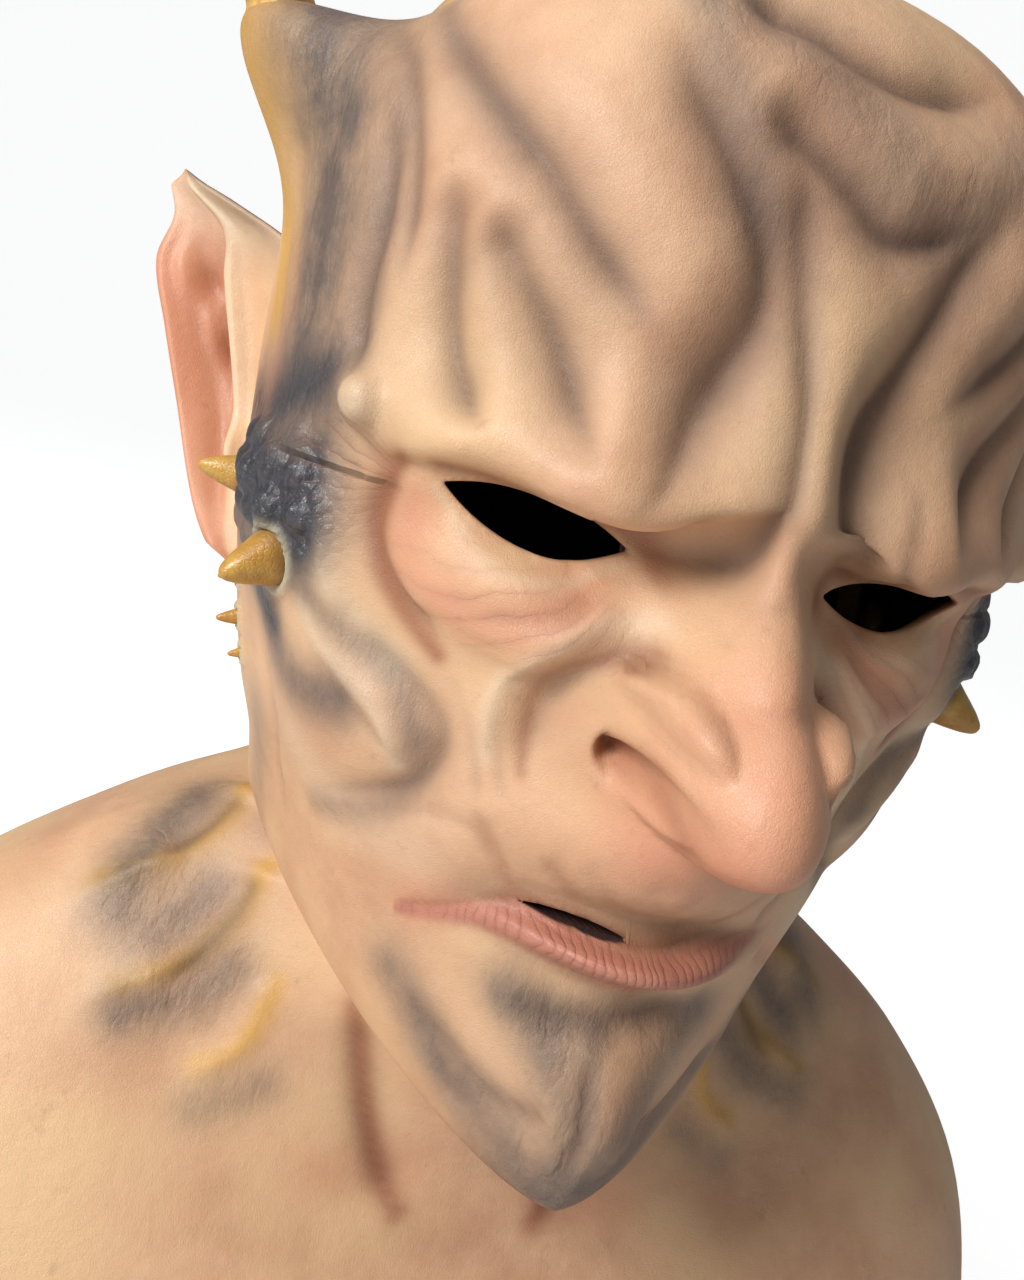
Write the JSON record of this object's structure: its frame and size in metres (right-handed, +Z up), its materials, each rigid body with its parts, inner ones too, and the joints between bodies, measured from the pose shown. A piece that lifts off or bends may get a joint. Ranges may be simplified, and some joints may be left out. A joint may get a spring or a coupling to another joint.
{
  "type": "devil mask",
  "caption": "Full-head silicone devil mask with heavy brow folds, bulbous nose, pointed ears and chin, horns, cheek spikes, neck and shoulder bib.",
  "frame": {"origin": "inside of the skull's crown, where a wearer's crown touches, on the middle plane", "axes": "+Z up, the face looks along -Y, +X to the mask's left"},
  "size_m": [0.3794, 0.2424, 0.4407],
  "materials": {
    "silicone": "painted silicone skin, softly glossy, with grey airbrushed creases",
    "horn": "ochre horn, darker at the tip",
    "spike": "glossy mustard brown"
  },
  "bodies": {
    "root": {"skin": "silicone", "right_horn": "horn", "left_horn": "horn", "right_spike_upper": "spike", "right_spike_main": "spike", "right_spike_rear_1": "spike", "right_spike_rear_2": "spike", "right_spike_rear_3": "spike", "left_spike_upper": "spike", "left_spike_main": "spike", "left_spike_rear_1": "spike", "left_spike_rear_2": "spike", "left_spike_rear_3": "spike"}
  },
  "joints": []
}
